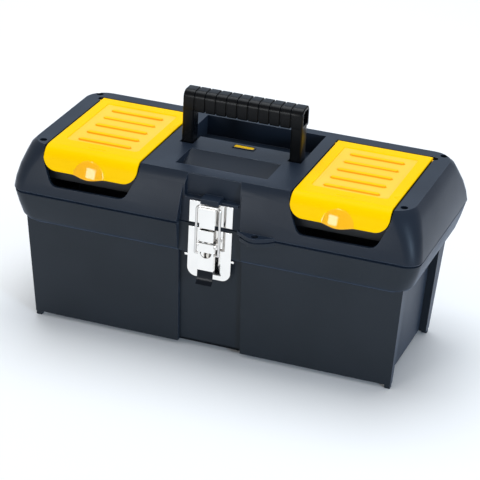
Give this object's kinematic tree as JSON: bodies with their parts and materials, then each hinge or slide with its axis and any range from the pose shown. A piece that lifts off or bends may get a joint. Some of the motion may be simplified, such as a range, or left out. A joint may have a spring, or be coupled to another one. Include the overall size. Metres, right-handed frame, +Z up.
{
  "type": "toolbox with tray",
  "caption": "Moulded toolbox with a hinged lid, lidded organisers in the lid, a fold-down ribbed handle, a wire-bail draw latch and a lift-out tray.",
  "frame": {"origin": "On the ground, under the centre of the closed toolbox's bounding box.", "axes": "+X to the right along the length, +Y to the hinged back, +Z up; the latch faces -Y."},
  "size_m": [0.41, 0.205, 0.237],
  "materials": {
    "tub_plastic": "fine-textured moulded polypropylene, near-black blue-grey",
    "lid_plastic": "fine-textured moulded polypropylene, near-black blue-grey",
    "handle_plastic": "satin black moulded plastic",
    "bin_plastic": "satin dark-grey moulded plastic",
    "yellow_plastic": "semi-gloss yellow moulded plastic",
    "latch_nickel": "bright nickel-plated pressed steel",
    "pin_steel": "plain bright drawn steel rod",
    "tray_plastic": "satin dark-grey moulded plastic"
  },
  "bodies": {
    "base": {"base_tub": "tub_plastic", "hinge_pin_left": "pin_steel", "hinge_pin_right": "pin_steel", "latch_plate": "latch_nickel", "latch_rivets": "latch_nickel", "lever_pin": "pin_steel"},
    "lid": {"lid_shell": "lid_plastic", "organiser_bin_left": "bin_plastic", "organiser_bin_right": "bin_plastic", "badge_frame": "handle_plastic", "badge_insert": "yellow_plastic", "strike_plate": "latch_nickel", "strike_rivets": "latch_nickel"},
    "organiser_cover_left": {"organiser_lid_left": "yellow_plastic"},
    "organiser_cover_right": {"organiser_lid_right": "yellow_plastic"},
    "carry_handle": {"handle": "handle_plastic"},
    "lever": {"latch_lever": "latch_nickel"},
    "bail": {"latch_bail": "latch_nickel"},
    "lift_tray": {"tray": "tray_plastic"}
  },
  "joints": [
    {"name": "lid_hinge", "type": "hinge", "parent": "base", "child": "lid", "pos_m": [0, 0.0975, 0.136], "axis": [-1, 0, 0], "range_deg": [0, 100]},
    {"name": "organiser_left_hinge", "type": "hinge", "parent": "lid", "child": "organiser_cover_left", "pos_m": [-0.1244, 0.055, 0.1815], "axis": [-1, 0, 0], "range_deg": [0, 100]},
    {"name": "organiser_right_hinge", "type": "hinge", "parent": "lid", "child": "organiser_cover_right", "pos_m": [0.1244, 0.055, 0.1815], "axis": [-1, 0, 0], "range_deg": [0, 100]},
    {"name": "handle_fold", "type": "hinge", "parent": "lid", "child": "carry_handle", "pos_m": [0, -0.0005, 0.1745], "axis": [-1, 0, 0], "range_deg": [0, 90]},
    {"name": "lever_turn", "type": "hinge", "parent": "base", "child": "lever", "pos_m": [0, -0.092, 0.12], "axis": [-1, 0, 0], "range_deg": [0, 91]},
    {"name": "bail_turn", "type": "hinge", "parent": "lever", "child": "bail", "pos_m": [0, -0.092, 0.1105], "axis": [1, 0, 0], "range_deg": [0, 186]},
    {"name": "tray_lift", "type": "slide", "parent": "base", "child": "lift_tray", "axis": [0, 0, 1], "range_m": [0, 0.1]}
  ],
  "couplings": [
    {"joint": "lever_turn", "follows": "lid_hinge", "ratio": 0.9},
    {"joint": "bail_turn", "follows": "lid_hinge", "ratio": 1.85},
    {"joint": "tray_lift", "follows": "lid_hinge", "m_per_rad": 0.0572}
  ]
}
